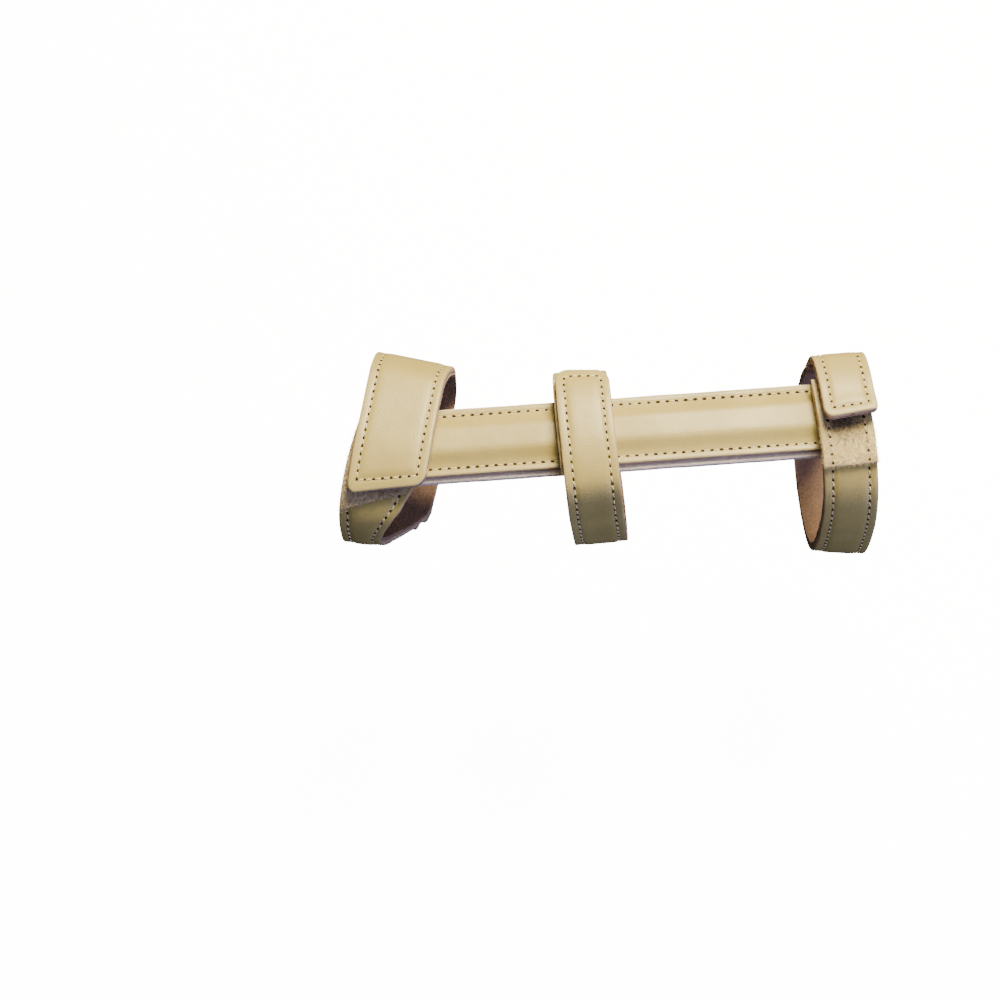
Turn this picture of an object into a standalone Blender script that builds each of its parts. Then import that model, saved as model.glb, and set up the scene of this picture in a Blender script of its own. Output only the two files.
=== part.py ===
"""Wrist and forearm splint: a covered dorsal stay held by three leather straps, the first a palm cuff with a pocket.

Metres, +Z up. The origin is the centre of the wrist. +X runs along the forearm to the elbow, +Y to the little
finger's side and +Z to the back of the hand, of a right arm held out level. Each strap is drawn on the unrolled
surface of its own loop round the arm, by the angle round the arm and the distance across the strap.
"""

import math
from collections import namedtuple

import bmesh
import bpy
from mathutils import Vector

MM = 0.001
GAP = 0.3 * MM  # between pieces that are sewn or stuck together

# The stay: felt under a leather cover whose middle is raised by the bar inside it
FOREARM_BACK_Z = 20.0 * MM  # the back of the wrist above the wrist's centre
STAY_HAND_X = -80.0 * MM
STAY_LENGTH = 178.0 * MM
STAY_WIDTH = 26.0 * MM
STAY_CORNER = 6.0 * MM
FELT_THICK = 2.2 * MM
FELT_PROUD = 0.6 * MM  # how far the felt shows past the cover
COVER_THICK = 2.0 * MM  # at the sewn margin
COVER_RAISE = 2.5 * MM  # of the panel over the bar
COVER_MARGIN = 3.0 * MM  # from the edge to the foot of the raised panel
COVER_SLOPE = 5.0 * MM  # width of the raised panel's soft side
COVER_END_SLOPE = 12.0 * MM

# What all straps are made of: outer leather over a soft leather lining
LINING_THICK = 1.1 * MM
LEATHER_THICK = 1.8 * MM
LEATHER_CROWN = 0.3 * MM  # of the middle over the sewn margins
STITCH_MARGIN = 3.1 * MM  # from the edge to the stitch line
CROWN_MARGIN = 5.2 * MM  # from the edge to the full crown
HOOK_THICK = 1.2 * MM
STAY_CLEARANCE = 0.35 * MM  # between the stay's cover and the straps over it

# The hand's cuff. room: half the width inside, depth: of the inside below the origin, shift: of the loop sideways,
# drift: how far the tab lies to the elbow's side of the strap's start
HAND_INSET = 12.8 * MM  # from the stay's hand end to the cuff's middle
HAND_WIDTH = 27.0 * MM
HAND_ROOM = 33.1 * MM
HAND_DEPTH = 8.0 * MM
HAND_SHIFT = 5.3 * MM
HAND_DRIFT = 3.0 * MM
HAND_TAB_CORNER = 5.0 * MM
HAND_TAB_CURL = 0.3 * MM

WRIST_X = 2.2 * MM
WRIST_WIDTH = 19.5 * MM
WRIST_ROOM = 28.0 * MM
WRIST_DEPTH = 18.0 * MM
WRIST_SHIFT = -0.3 * MM
WRIST_DRIFT = 0.9 * MM
WRIST_TAB_CORNER = 5.0 * MM

FOREARM_INSET = 6.3 * MM  # from the strap's middle to the stay's elbow end
FOREARM_WIDTH = 19.0 * MM
FOREARM_ROOM = 28.6 * MM
FOREARM_DEPTH = 36.0 * MM
FOREARM_SHIFT = -3.6 * MM
FOREARM_DRIFT = 1.7 * MM
FOREARM_TAB_CORNER = 3.5 * MM
FOREARM_TAB_CURL = 1.2 * MM
TAB_HOOK_LENGTH = 16.0 * MM
TAB_HOOK_INSET = 1.2 * MM

# The pocket in the palm
POCKET_WALL = 1.7 * MM
POCKET_ROOM = 6.2 * MM  # how far the pocket's inside stands off its sewn margins
POCKET_FLANGE = 2.6 * MM  # sewn margin on each side
POCKET_SLOPE = 1.6 * MM
POCKET_CORNER = 3.0 * MM
POCKET_MOUTH = 226.0  # degrees round the hand
POCKET_END = 326.0
POCKET_CLOSE = 16.0  # degrees in which the closed end comes down on the strap

STEP = 7.5  # degrees between a strap's sections
END_SHARES = (0.0, 0.12, 0.4, 1.0)  # where sections stand along a rounded end, as shares of its radius

COVER_Z = FOREARM_BACK_Z + FELT_THICK + GAP
STRAP_THICK = LINING_THICK + GAP + LEATHER_THICK + LEATHER_CROWN
PATCH_FLOOR = STRAP_THICK + GAP
PATCH_TOP = PATCH_FLOOR + HOOK_THICK

# square: the loop's exponent, 2 for an ellipse, flares: growth of room, depth and shift for each mm towards the
# elbow, slant: mm towards the elbow for each mm to the little finger's side, lean: the same for each mm up,
# turn: 1 where the tab comes over the little finger's side and -1 over the thumb's, start and tab: degrees of the
# two ends, cut: slope of the tab's end, hooks: 1 where the tab's own hooks show under it
Strap = namedtuple(
    "Strap",
    "x width room depth shift drift corner curl square flare_room flare_depth flare_shift slant lean"
    " turn start tab cut hooks",
)
HAND = Strap(
    x=STAY_HAND_X + HAND_INSET,
    width=HAND_WIDTH,
    room=HAND_ROOM,
    depth=HAND_DEPTH,
    shift=HAND_SHIFT,
    drift=HAND_DRIFT,
    corner=HAND_TAB_CORNER,
    curl=HAND_TAB_CURL,
    square=2.8,
    flare_room=-0.06,
    flare_depth=0.03,
    flare_shift=-0.237,
    slant=0.25,
    lean=0.0,
    turn=1,
    start=50,
    tab=508,
    cut=-14,
    hooks=0,
)
WRIST = Strap(
    x=WRIST_X,
    width=WRIST_WIDTH,
    room=WRIST_ROOM,
    depth=WRIST_DEPTH,
    shift=WRIST_SHIFT,
    drift=WRIST_DRIFT,
    corner=WRIST_TAB_CORNER,
    curl=0.0,
    square=2.5,
    flare_room=-0.02,
    flare_depth=-0.02,
    flare_shift=0.0,
    slant=-0.02,
    lean=-0.1,
    turn=-1,
    start=128,
    tab=-314,
    cut=3,
    hooks=0,
)
FOREARM = Strap(
    x=STAY_HAND_X + STAY_LENGTH - FOREARM_INSET,
    width=FOREARM_WIDTH,
    room=FOREARM_ROOM,
    depth=FOREARM_DEPTH,
    shift=FOREARM_SHIFT,
    drift=FOREARM_DRIFT,
    corner=FOREARM_TAB_CORNER,
    curl=FOREARM_TAB_CURL,
    square=2.7,
    flare_room=0.06,
    flare_depth=0.1,
    flare_shift=-0.058,
    slant=-0.02,
    lean=0.02,
    turn=1,
    start=65,
    tab=455,
    cut=-4,
    hooks=1,
)

RISE_BEFORE = 4.0  # degrees before the start's end, by which the tab's layer is clear above it
RISE_SPAN = 30.0  # degrees in which it climbs

# Waist of the cuff beside the thumb: degrees round the hand, and the distance of the edge on the elbow's side from
# the strap's middle line, as a share of half the width
Waist = namedtuple("Waist", "angle share")
THUMB_WAIST = (
    Waist(132, 1.00),
    Waist(146, 0.84),
    Waist(157, 0.60),
    Waist(164, 0.38),
    Waist(172, 0.18),
    Waist(182, 0.05),
    Waist(192, 0.04),
    Waist(204, 0.24),
    Waist(216, 0.62),
    Waist(228, 0.94),
    Waist(236, 1.00),
)

# Across a strap, a column is its side, -1 to the hand and 1 to the elbow, and its distance in from that edge
Column = namedtuple("Column", "side margin")
MIDDLE = Column(0, 0.0)


def clear_scene():
    for thing in list(bpy.data.objects):
        bpy.data.objects.remove(thing, do_unlink=True)


def smooth(share):
    share = min(max(share, 0.0), 1.0)
    return share * share * (3 - 2 * share)


def leather_like(name, colour, roughness):
    material = bpy.data.materials.new(name)
    material.use_nodes = True
    shader = material.node_tree.nodes["Principled BSDF"]
    shader.inputs["Base Color"].default_value = (*colour, 1.0)
    shader.inputs["Roughness"].default_value = roughness
    shader.inputs["Metallic"].default_value = 0.0
    return material


def wall(name, rows, columns, inner, outer, material):
    """A closed wall between two faces, each given as a place for every row and column of one grid."""
    mesh = bmesh.new()
    faces = [[[mesh.verts.new(side(row, column)) for column in columns] for row in rows] for side in (inner, outer)]
    under, over = faces
    for i in range(len(rows) - 1):
        for j in range(len(columns) - 1):
            mesh.faces.new((over[i][j], over[i + 1][j], over[i + 1][j + 1], over[i][j + 1]))
            mesh.faces.new((under[i][j], under[i][j + 1], under[i + 1][j + 1], under[i + 1][j]))
        for j in (0, -1):
            mesh.faces.new((over[i][j], under[i][j], under[i + 1][j], over[i + 1][j]))
    for j in range(len(columns) - 1):
        for i in (0, -1):
            mesh.faces.new((over[i][j], over[i][j + 1], under[i][j + 1], under[i][j]))
    bmesh.ops.recalc_face_normals(mesh, faces=mesh.faces)
    data = bpy.data.meshes.new(name)
    mesh.to_mesh(data)
    mesh.free()
    data.materials.append(material)
    data.shade_smooth()
    data.set_sharp_from_angle(angle=math.radians(35))
    piece = bpy.data.objects.new(name, data)
    bpy.context.scene.collection.objects.link(piece)
    return piece


def rounded_half(half, corner, distance):
    """Half the width at this distance from an end with round corners."""
    inside = max(corner - distance, 0.0)
    return half - corner + math.sqrt(max(corner * corner - inside * inside, 0.0))


def stay_rows():
    """Places along the stay, close together at its round corners and where its raised panel ends."""
    near = [STAY_CORNER * share for share in END_SHARES]
    near += [STAY_CORNER + COVER_END_SLOPE * share for share in (0.25, 0.5, 0.75, 1.0)]
    middle = [STAY_LENGTH * share for share in (0.3, 0.5, 0.7)]
    return near + middle + [STAY_LENGTH - distance for distance in reversed(near)]


def stay_place(row, column, half_width, z):
    half = rounded_half(half_width, STAY_CORNER, min(row, STAY_LENGTH - row))
    return Vector((STAY_HAND_X + row, column * half, z))


def cover_raise(row, column):
    """How far the cover stands above its sewn margin, by the raised panel over the bar."""
    from_edge = (1 - abs(column)) * STAY_WIDTH / 2
    from_end = min(row, STAY_LENGTH - row)
    across = smooth((from_edge - COVER_MARGIN) / COVER_SLOPE)
    along = smooth((from_end - COVER_MARGIN) / COVER_END_SLOPE)
    return COVER_RAISE * across * along


def make_stay(leather, felt):
    felt_half = STAY_WIDTH / 2 + FELT_PROUD
    wall(
        "stay_lining",
        stay_rows(),
        (-1, 0, 1),
        lambda row, column: stay_place(row, column, felt_half, FOREARM_BACK_Z),
        lambda row, column: stay_place(row, column, felt_half, FOREARM_BACK_Z + FELT_THICK),
        felt,
    )
    across = [2 * (COVER_MARGIN + COVER_SLOPE * share) / STAY_WIDTH for share in (0.0, 0.3, 0.5, 0.7, 1.0)]
    half_columns = [1.0] + [1 - share for share in across]
    columns = [-share for share in half_columns] + [0.0] + half_columns[::-1]
    wall(
        "stay_cover",
        stay_rows(),
        columns,
        lambda row, column: stay_place(row, column, STAY_WIDTH / 2, COVER_Z),
        lambda row, column: stay_place(
            row, column, STAY_WIDTH / 2, COVER_Z + COVER_THICK + cover_raise(row, column)
        ),
        leather,
    )


def cover_corners():
    """Points (y, z) of the stay's cover that a strap over it has to clear."""
    edge, foot = STAY_WIDTH / 2, STAY_WIDTH / 2 - COVER_MARGIN - COVER_SLOPE
    margin_z = COVER_Z + COVER_THICK + STAY_CLEARANCE
    corners = []
    for side in (-1, 1):
        corners += [(side * edge, margin_z), (side * foot, margin_z + COVER_RAISE)]
    return corners


def loop_at(strap, x):
    """Half width, half height and centre (y, z) of the strap's loop at this place along the arm."""
    along = x - strap.x
    room = strap.room + strap.flare_room * along
    depth = strap.depth + strap.flare_depth * along
    shift = strap.shift + strap.flare_shift * along
    top = 0.0
    for y, z in cover_corners():
        level = (1 - (abs(y - shift) / room) ** strap.square) ** (1 / strap.square)
        top = max(top, (2 * z + depth * (1 - level)) / (1 + level))
    height = (top + depth) / 2
    return room, height, shift, top - height


def loop_place(strap, angle, x, offset):
    """The point at this angle round the arm, standing off the loop's inside by the offset."""
    side, height, centre_y, centre_z = loop_at(strap, x)
    c, s = math.cos(math.radians(angle)), math.sin(math.radians(angle))
    n = strap.square
    radius = ((abs(c) / side) ** n + (abs(s) / height) ** n) ** (-1 / n)
    slope = Vector(
        (
            0,
            math.copysign((abs(c) * radius / side) ** (n - 1) / side, c),
            math.copysign((abs(s) * radius / height) ** (n - 1) / height, s),
        )
    ).normalized()
    return Vector((x, centre_y + radius * c, centre_z + radius * s)) + slope * offset


def progress(strap, angle):
    """Share of the way from the strap's start to its tab."""
    return (angle - strap.start) / (strap.tab - strap.start)


def middle_line(strap, angle):
    place = loop_place(strap, angle, strap.x, 0.0)
    _, _, centre_y, centre_z = loop_at(strap, strap.x)
    along = strap.slant * (place.y - centre_y) + strap.lean * (place.z - centre_z)
    return loop_place(strap, angle, strap.x + along + strap.drift * (progress(strap, angle) - 0.5), 0.0)


def across_line(strap, angle):
    """The middle line's point, the direction across the strap there, and its length for each degree."""
    step = 0.5
    before, after = middle_line(strap, angle - step), middle_line(strap, angle + step)
    point = middle_line(strap, angle)
    outward = loop_place(strap, angle, point.x, 1.0) - point
    across = (after - before).cross(outward).normalized()
    if across.x < 0:
        across.negate()
    return point, across, (after - before).length / (2 * step)


def unroll(strap, angle, across_by, offset):
    """The point of the strap at this angle, this far across from its middle line."""
    point, across, _ = across_line(strap, angle)
    moved = point + across * across_by
    _, _, centre_y, centre_z = loop_at(strap, moved.x)
    turned = math.degrees(math.atan2(moved.z - centre_z, moved.y - centre_y))
    return loop_place(strap, turned, moved.x, offset)


def tab_lift(strap):
    """How far the tab's layer lies above the start's layer."""
    return PATCH_TOP + GAP + strap.hooks * (HOOK_THICK + GAP)


def layer_offset(strap, angle):
    """Height of the strap's inside above its loop: it climbs over its own start and curls up at its tab."""
    past = strap.turn * (angle - strap.start) - 360
    climb = smooth((past + RISE_BEFORE + RISE_SPAN) / RISE_SPAN)
    left = strap.turn * (strap.tab - angle)
    curl = strap.curl * smooth(1 - left / 16)
    return tab_lift(strap) * climb + curl


def waist_share(angle):
    """The cuff's elbow edge beside the thumb, from the table."""
    if angle <= THUMB_WAIST[0].angle or angle >= THUMB_WAIST[-1].angle:
        return 1.0
    for first, second in zip(THUMB_WAIST, THUMB_WAIST[1:]):
        if angle <= second.angle:
            share = (angle - first.angle) / (second.angle - first.angle)
            return first.share + (second.share - first.share) * share
    return 1.0


Row = namedtuple("Row", "angle near far cut")  # near: half width to the hand's side, far: to the elbow's side


def row_at(strap, angle, ends, corners, cuts, inset):
    """One section of a piece that lies on a strap: its angle, half widths, and how its line is slanted."""
    half = strap.width / 2 - inset
    waist = waist_share(angle) if strap is HAND else 1.0
    _, _, degree = across_line(strap, angle)
    rounding = 0.0
    slant = 0.0
    for edge, corner, cut in zip(ends, corners, cuts):
        distance = abs(angle - edge) * degree
        if corner:
            rounding = max(rounding, half - rounded_half(half, corner, distance))
        slant += math.tan(math.radians(cut)) * (1 - smooth(distance / (0.6 * strap.width))) / degree
    return Row(angle, half - rounding, half * waist - rounding, slant)


def rows_of(strap, start, end, corners=(0.0, 0.0), cuts=(0.0, 0.0), inset=0.0):
    """Sections from one angle to another, on even degrees between, and close together at round corners."""
    turn = 1 if end > start else -1
    angles = []
    for edge, corner, inward in ((start, corners[0], turn), (end, corners[1], -turn)):
        _, _, degree = across_line(strap, edge)
        shares = END_SHARES if corner else (0.0,)
        angles += [edge + inward * share * corner / degree for share in shares]
    low, high = min(start, end), max(start, end)
    taken = list(angles)
    steps = range(math.ceil(low / STEP), math.floor(high / STEP) + 1)
    angles += [k * STEP for k in steps if all(abs(k * STEP - other) > 0.35 * STEP for other in taken)]
    ordered = sorted(angles, reverse=end < start)
    return [row_at(strap, angle, (start, end), corners, cuts, inset) for angle in ordered]


def on_strap(strap, row, column, offset):
    """The place of one grid point of a piece that lies on a strap. offset is above the strap's inside."""
    width = row.near + row.far
    margin = column.margin * min(1.0, width / (2.6 * CROWN_MARGIN))
    if column.side < 0:
        by = margin - row.near
    elif column.side > 0:
        by = row.far - margin
    else:
        by = (row.far - row.near) / 2
    return unroll(strap, row.angle + row.cut * by, by, layer_offset(strap, row.angle) + offset)


def columns_at(*margins):
    """Columns at these margins in from both edges, and one along the middle."""
    near = [Column(-1, margin) for margin in margins]
    return near + [MIDDLE] + [Column(1, margin) for margin in reversed(margins)]


def crown(column):
    """Rise of the leather between its sewn margins."""
    if column.side == 0:
        return LEATHER_CROWN
    return LEATHER_CROWN * smooth((column.margin - STITCH_MARGIN) / (CROWN_MARGIN - STITCH_MARGIN))


def make_strap(name, strap, leather, lining):
    rows = rows_of(strap, strap.start, strap.tab, corners=(0.0, strap.corner), cuts=(0.0, strap.cut))
    wall(
        name + "_lining",
        rows,
        columns_at(0.0),
        lambda row, column: on_strap(strap, row, column, 0.0),
        lambda row, column: on_strap(strap, row, column, LINING_THICK),
        lining,
    )
    floor = LINING_THICK + GAP
    wall(
        name,
        rows,
        columns_at(0.0, STITCH_MARGIN, CROWN_MARGIN),
        lambda row, column: on_strap(strap, row, column, floor),
        lambda row, column: on_strap(strap, row, column, floor + LEATHER_THICK + crown(column)),
        leather,
    )


def make_patch(name, strap, end, end_cut, hook):
    """The hook patch sewn on the outside of a strap's start, under its tab."""
    wall(
        name,
        rows_of(strap, strap.start, end, cuts=(0.0, end_cut)),
        columns_at(0.0),
        lambda row, column: on_strap(strap, row, column, PATCH_FLOOR),
        lambda row, column: on_strap(strap, row, column, PATCH_TOP),
        hook,
    )


def make_tab_hook(name, strap, hook):
    """The hooks sewn under a tab, a little inside its edges."""
    _, _, degree = across_line(strap, strap.tab)
    end = strap.tab - strap.turn * TAB_HOOK_INSET / degree
    start = end - strap.turn * TAB_HOOK_LENGTH / degree
    corners = (0.0, max(strap.corner - TAB_HOOK_INSET, 0.0))
    wall(
        name,
        rows_of(strap, start, end, corners=corners, cuts=(0.0, strap.cut), inset=TAB_HOOK_INSET),
        columns_at(0.0),
        lambda row, column: on_strap(strap, row, column, -GAP - HOOK_THICK),
        lambda row, column: on_strap(strap, row, column, -GAP),
        hook,
    )


def pocket_bulge(row, column):
    """How far the pocket's inside stands off the strap at one grid point."""
    across = 1.0 if column.side == 0 else smooth((column.margin - POCKET_FLANGE) / POCKET_SLOPE)
    along = smooth((POCKET_END - row.angle) / POCKET_CLOSE - 0.3)
    return POCKET_ROOM * across * along


def make_pocket(name, strap, leather):
    """A leather panel sewn over the cuff in the palm, open at the thumb's side."""
    wall(
        name,
        rows_of(strap, POCKET_MOUTH, POCKET_END, corners=(0.0, POCKET_CORNER)),
        columns_at(0.0, POCKET_FLANGE, POCKET_FLANGE + POCKET_SLOPE / 2, POCKET_FLANGE + POCKET_SLOPE),
        lambda row, column: on_strap(strap, row, column, PATCH_FLOOR + pocket_bulge(row, column)),
        lambda row, column: on_strap(strap, row, column, PATCH_FLOOR + pocket_bulge(row, column) + POCKET_WALL),
        leather,
    )


def main():
    clear_scene()
    leather = leather_like("tan_leather", (0.56, 0.49, 0.31), 0.42)
    lining = leather_like("suede_lining", (0.42, 0.30, 0.20), 0.9)
    felt = leather_like("white_felt", (0.70, 0.62, 0.56), 0.95)
    hook = leather_like("hook_fabric", (0.50, 0.41, 0.27), 0.95)
    make_stay(leather, felt)
    make_strap("hand_cuff", HAND, leather, lining)
    make_patch("hand_cuff_patch", HAND, 153.5, -21.0, hook)
    make_pocket("utensil_pocket", HAND, leather)
    make_strap("wrist_strap", WRIST, leather, lining)
    make_patch("wrist_strap_patch", WRIST, 48.0, 0.0, hook)
    make_strap("forearm_strap", FOREARM, leather, lining)
    make_patch("forearm_strap_patch", FOREARM, 119.5, 0.0, hook)
    make_tab_hook("forearm_tab_hook", FOREARM, hook)


main()
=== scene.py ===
"""Visual model of a wrist and forearm splint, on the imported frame. Metres, +Z up, elbow at +X."""

import math
from collections import namedtuple
from functools import lru_cache

import bmesh
import bpy
from mathutils import Matrix, Vector, noise


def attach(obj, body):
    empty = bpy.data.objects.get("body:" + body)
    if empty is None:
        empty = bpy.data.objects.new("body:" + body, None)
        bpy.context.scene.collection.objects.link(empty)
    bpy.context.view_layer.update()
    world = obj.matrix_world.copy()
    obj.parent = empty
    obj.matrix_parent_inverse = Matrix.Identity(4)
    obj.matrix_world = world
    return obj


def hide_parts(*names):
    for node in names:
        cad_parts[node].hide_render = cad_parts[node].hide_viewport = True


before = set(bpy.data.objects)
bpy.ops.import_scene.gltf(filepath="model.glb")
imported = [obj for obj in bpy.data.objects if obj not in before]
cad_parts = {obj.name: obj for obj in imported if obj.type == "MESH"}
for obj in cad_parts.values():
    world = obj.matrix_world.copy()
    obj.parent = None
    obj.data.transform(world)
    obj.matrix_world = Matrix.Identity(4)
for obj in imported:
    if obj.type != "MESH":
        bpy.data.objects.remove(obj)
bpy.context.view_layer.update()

MM = 0.001
GAP = 0.3 * MM  # between pieces that are sewn or stuck together

# The stay: felt under a leather cover whose middle is raised by the bar inside it
FOREARM_BACK_Z = 20.0 * MM
STAY_HAND_X = -80.0 * MM
STAY_LENGTH = 178.0 * MM
STAY_WIDTH = 26.0 * MM
STAY_CORNER = 6.0 * MM
FELT_THICK = 2.2 * MM
FELT_PROUD = 1.6 * MM
FELT_ROUND = 0.9 * MM
COVER_THICK = 2.0 * MM
COVER_RAISE = 2.5 * MM
COVER_MARGIN = 3.0 * MM
COVER_SLOPE = 5.0 * MM
PANEL_SLOPE = 6.3 * MM  # of the leather over the raised bar, rounder than the bar
COVER_END_SLOPE = 12.0 * MM
COVER_STITCH_MARGIN = 2.65 * MM
COVER_STITCH = 3.35 * MM

# The straps' layers
LINING_THICK = 1.1 * MM
LEATHER_THICK = 1.8 * MM
LEATHER_CROWN = 0.3 * MM
STITCH_MARGIN = 3.1 * MM
CROWN_MARGIN = 5.2 * MM
HOOK_THICK = 1.2 * MM
STAY_CLEARANCE = 0.35 * MM
EDGE_ROUND = 0.65 * MM  # of a leather edge's upper corner
UNDER_ROUND = 0.3 * MM
PRESS_DEPTH = 0.22 * MM  # of the line that the stitches pull in
PRESS_WIDTH = 0.6 * MM
STRAP_STITCH = 3.1 * MM  # from hole to hole
SEWN = 0.04 * MM  # left between layers that are sewn together
WOBBLE = 0.16 * MM  # of a cut edge
SWAY = 0.14 * MM  # of a layer, in and out

HAND_INSET = 12.8 * MM
HAND_WIDTH = 27.0 * MM
HAND_ROOM = 33.1 * MM
HAND_DEPTH = 8.0 * MM
HAND_SHIFT = 5.3 * MM
HAND_DRIFT = 3.0 * MM
HAND_TAB_CORNER = 5.0 * MM
HAND_TAB_CURL = 0.3 * MM
HAND_TRIM = 2.5 * MM  # of the cuff's start on the hand's side, where its tab covers it
HAND_TRIM_FROM = 60.0  # degrees round the loop, as are the other places of ends
HAND_TRIM_SPAN = 105.0
HAND_PATCH_END = 153.5
HAND_PATCH_CUT = -21.0  # slope of the patch's end

WRIST_X = 2.2 * MM
WRIST_WIDTH = 19.5 * MM
WRIST_ROOM = 28.0 * MM
WRIST_DEPTH = 18.0 * MM
WRIST_SHIFT = -0.3 * MM
WRIST_DRIFT = 0.9 * MM
WRIST_TAB_CORNER = 5.0 * MM
WRIST_PATCH_END = 48.0

FOREARM_INSET = 6.3 * MM
FOREARM_WIDTH = 19.0 * MM
FOREARM_ROOM = 28.6 * MM
FOREARM_DEPTH = 36.0 * MM
FOREARM_SHIFT = -3.6 * MM
FOREARM_DRIFT = 1.7 * MM
FOREARM_TAB_CORNER = 3.5 * MM
FOREARM_TAB_CURL = 1.2 * MM
FOREARM_PATCH_END = 119.5
TAB_HOOK_LENGTH = 16.0 * MM
TAB_HOOK_INSET = 1.2 * MM

POCKET_WALL = 1.7 * MM
POCKET_ROOM = 6.2 * MM
POCKET_FLANGE = 2.6 * MM
POCKET_SLOPE = 1.6 * MM
POCKET_CORNER = 3.0 * MM
POCKET_MOUTH = 226.0
POCKET_END = 326.0
POCKET_CLOSE = 16.0  # degrees over which its end closes
POCKET_STITCH_MARGIN = 1.4 * MM

SOFT_ROUND = 0.35 * MM  # of a lining's or patch's edge
SOFT_UNDER_ROUND = 0.2 * MM
SWAY_SIZE = 13.0 * MM
EDGE_REACH = 6.0 * MM  # how far in from an edge its unevenness goes
CURL_SPAN = 16.0  # degrees of a tab that curl up
PAINTED_SHADOW_LENGTH = 11.0 * MM  # of the shadow painted on the forearm patch, from its tab's end
THREAD_WIDTH = 0.68 * MM
STRAP_HOLE = 1.1 * MM
COVER_HOLE = 1.45 * MM
STRAP_THREAD = 0.78  # a thread's length as a share of its stitch
COVER_THREAD = 0.62
STRAP_SLANT = 0.22  # radians between a thread and its seam
COVER_SLANT = 0.12
POCKET_SLANT = 0.2
THREAD_LIFT = 0.05 * MM  # of a thread's middle above the pressed line

# Where the meshes have their points: degrees between a strap's sections, then mm from an end or an edge
ROW_STEP = 1.5
END_ROWS = (0.0, 0.03, 0.12, 0.3, 0.6, 0.95, 1.3, 1.7, 2.1, 2.45, 2.8, 3.1, 3.45, 3.8, 4.4, 5.2)
LEATHER_MARGINS = (0.0, 0.03, 0.12, 0.3, 0.6, 1.2, 1.9, 2.4, 2.75, 3.1, 3.45, 3.8, 4.4, 5.2, 7.0)
SOFT_MARGINS = (0.0, 0.05, 0.15, 0.35, 0.7, 2.0, 5.0)
FELT_MARGINS = (0.0, 0.05, 0.15, 0.3, 0.5, 0.8, 2.0, 6.0)
POCKET_MARGINS = (
    *(0.0, 0.03, 0.12, 0.3, 0.6, 1.0, 1.4, 1.8, 2.2),
    *(2.6, 2.85, 3.05, 3.25, 3.5, 3.8, 4.2, 4.7, 6.0),
)
COVER_MARGINS = (
    *(0.0, 0.03, 0.12, 0.3, 0.6, 1.0, 1.5, 1.95, 2.3, 2.65, 3.0),
    *(3.35, 3.8, 4.4, 5.0, 5.6, 6.2, 6.8, 7.4, 8.0, 9.5, 11.0),
)
STAY_ENDS = (
    *(0.0, 0.03, 0.1, 0.25, 0.5, 0.8, 1.2, 1.7, 2.15, 2.45, 2.75),
    *(3.1, 3.6, 4.2, 5.0, 6.0, 7.5, 9.0, 11.0, 13.0, 15.0),
)
STAY_STEPS = 60  # between its ends' last points

COVER_Z = FOREARM_BACK_Z + FELT_THICK + GAP
STRAP_THICK = LINING_THICK + GAP + LEATHER_THICK + LEATHER_CROWN
PATCH_FLOOR = STRAP_THICK + GAP
PATCH_TOP = PATCH_FLOOR + HOOK_THICK
LEATHER_FLOOR = LINING_THICK + SEWN
LEATHER_TOP = LINING_THICK + GAP + LEATHER_THICK

Strap = namedtuple(
    "Strap",
    "x width room depth shift drift corner curl square flare_room flare_depth flare_shift slant lean"
    " turn start tab cut hooks",
)
HAND = Strap(
    x=STAY_HAND_X + HAND_INSET,
    width=HAND_WIDTH,
    room=HAND_ROOM,
    depth=HAND_DEPTH,
    shift=HAND_SHIFT,
    drift=HAND_DRIFT,
    corner=HAND_TAB_CORNER,
    curl=HAND_TAB_CURL,
    square=2.8,
    flare_room=-0.06,
    flare_depth=0.03,
    flare_shift=-0.237,
    slant=0.25,
    lean=0.0,
    turn=1,
    start=50,
    tab=508,
    cut=-14,
    hooks=0,
)
WRIST = Strap(
    x=WRIST_X,
    width=WRIST_WIDTH,
    room=WRIST_ROOM,
    depth=WRIST_DEPTH,
    shift=WRIST_SHIFT,
    drift=WRIST_DRIFT,
    corner=WRIST_TAB_CORNER,
    curl=0.0,
    square=2.5,
    flare_room=-0.02,
    flare_depth=-0.02,
    flare_shift=0.0,
    slant=-0.02,
    lean=-0.1,
    turn=-1,
    start=128,
    tab=-314,
    cut=3,
    hooks=0,
)
FOREARM = Strap(
    x=STAY_HAND_X + STAY_LENGTH - FOREARM_INSET,
    width=FOREARM_WIDTH,
    room=FOREARM_ROOM,
    depth=FOREARM_DEPTH,
    shift=FOREARM_SHIFT,
    drift=FOREARM_DRIFT,
    corner=FOREARM_TAB_CORNER,
    curl=FOREARM_TAB_CURL,
    square=2.7,
    flare_room=0.06,
    flare_depth=0.1,
    flare_shift=-0.058,
    slant=-0.02,
    lean=0.02,
    turn=1,
    start=65,
    tab=455,
    cut=-4,
    hooks=1,
)

RISE_BEFORE = 4.0
RISE_SPAN = 30.0

Waist = namedtuple("Waist", "angle share")
THUMB_WAIST = (
    Waist(132, 1.00),
    Waist(146, 0.84),
    Waist(157, 0.60),
    Waist(164, 0.38),
    Waist(172, 0.18),
    Waist(182, 0.05),
    Waist(192, 0.04),
    Waist(204, 0.24),
    Waist(216, 0.62),
    Waist(228, 0.94),
    Waist(236, 1.00),
)

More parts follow.
